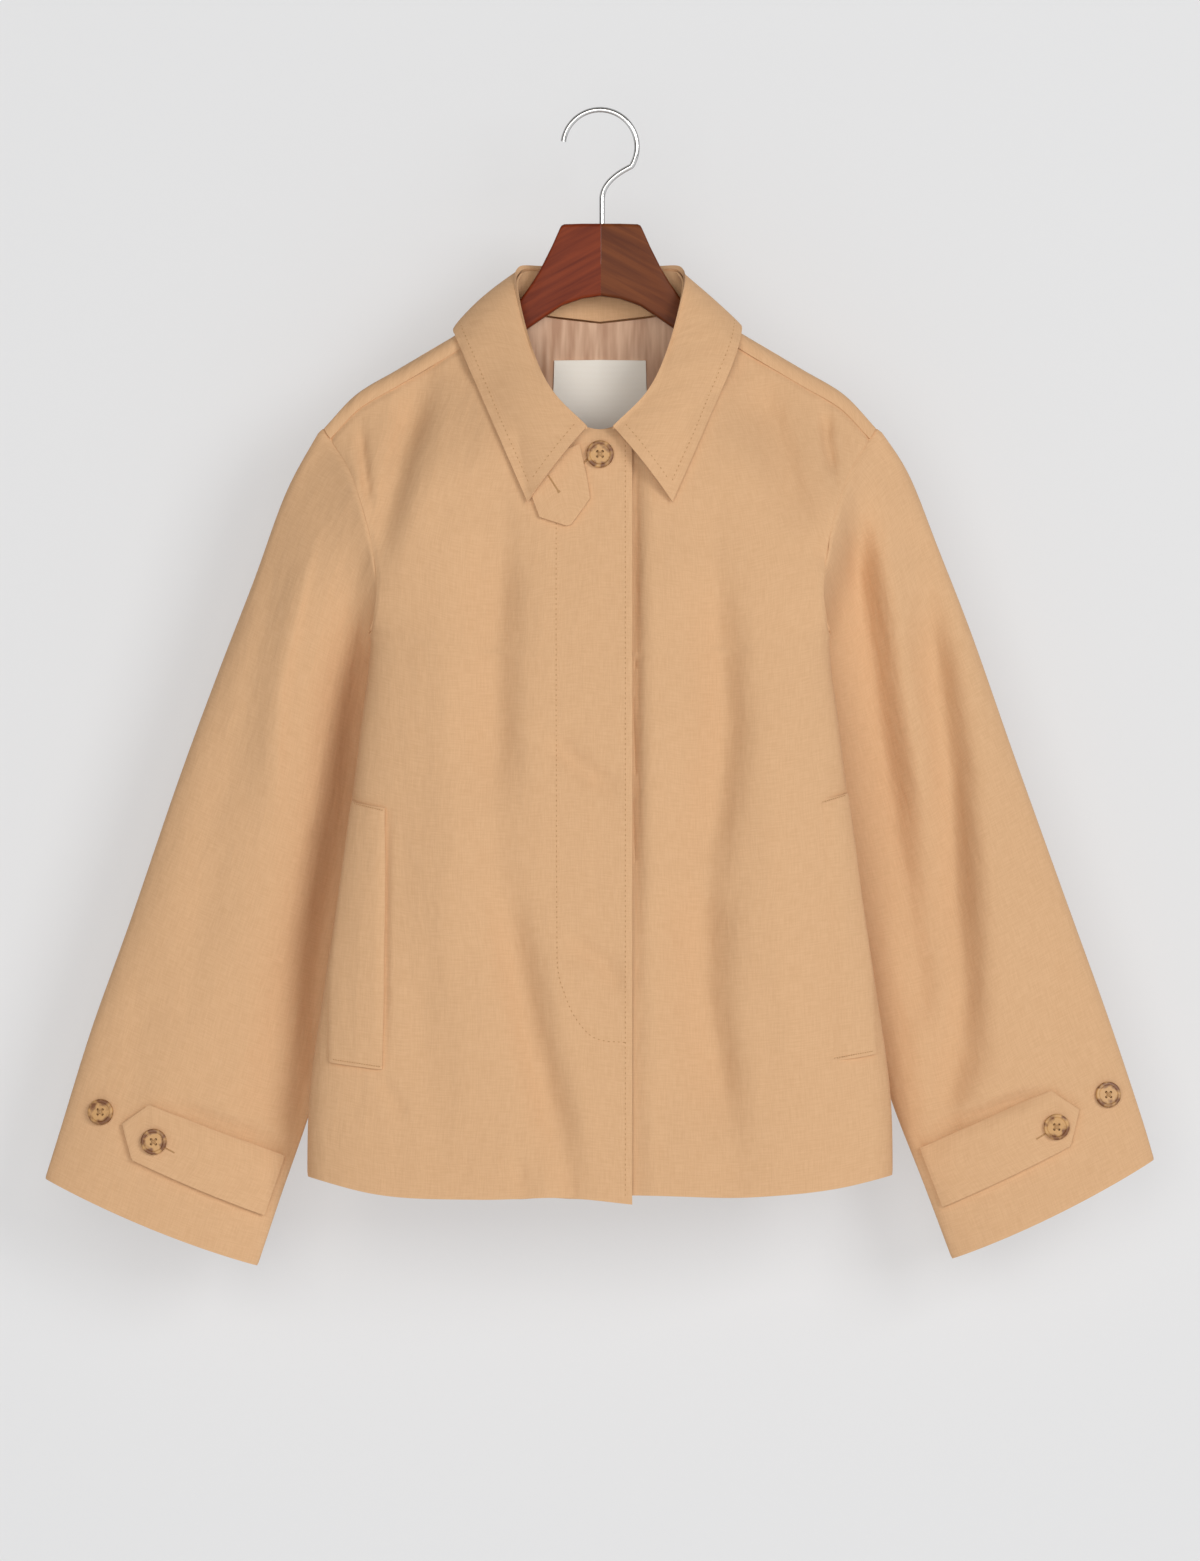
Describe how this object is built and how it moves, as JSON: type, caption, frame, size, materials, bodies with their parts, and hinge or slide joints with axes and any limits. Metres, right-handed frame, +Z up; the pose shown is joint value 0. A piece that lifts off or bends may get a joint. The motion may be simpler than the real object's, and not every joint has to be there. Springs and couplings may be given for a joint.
{
  "type": "car coat on a wooden hanger",
  "caption": "Short cotton car coat with a fly front, turn-down collar and strapped cuffs, hung open at neck, hem and cuffs on a wooden hanger with a wire hook.",
  "frame": {"origin": "inner top of the hanger's hook, where a rail or peg carries it", "axes": "+Z up, the coat's front faces -Y, the wearer's left side is at +X"},
  "size_m": [0.8165, 0.1019, 0.8519],
  "materials": {
    "shell_cloth": "matte tan cotton",
    "lining_cloth": "rose brown satin",
    "label_cloth": "cream woven label",
    "horn": "polished mottled brown horn",
    "hanger_wood": "varnished red brown",
    "hook_wire": "polished"
  },
  "bodies": {
    "root": {"front_right": "shell_cloth", "front_left": "shell_cloth", "back": "shell_cloth", "sleeve_right": "shell_cloth", "sleeve_left": "shell_cloth", "collar_stand": "shell_cloth", "collar_fall": "shell_cloth", "throat_tab": "shell_cloth", "cuff_strap_right": "shell_cloth", "cuff_strap_left": "shell_cloth", "pocket_welt_right": "shell_cloth", "pocket_welt_left": "shell_cloth", "lining_back": "lining_cloth", "neck_label": "label_cloth", "button_collar": "horn", "button_cuff_right_1": "horn", "button_cuff_right_2": "horn", "button_cuff_left_1": "horn", "button_cuff_left_2": "horn", "hanger_arm_right": "hanger_wood", "hanger_arm_left": "hanger_wood", "hook": "hook_wire"}
  },
  "joints": []
}
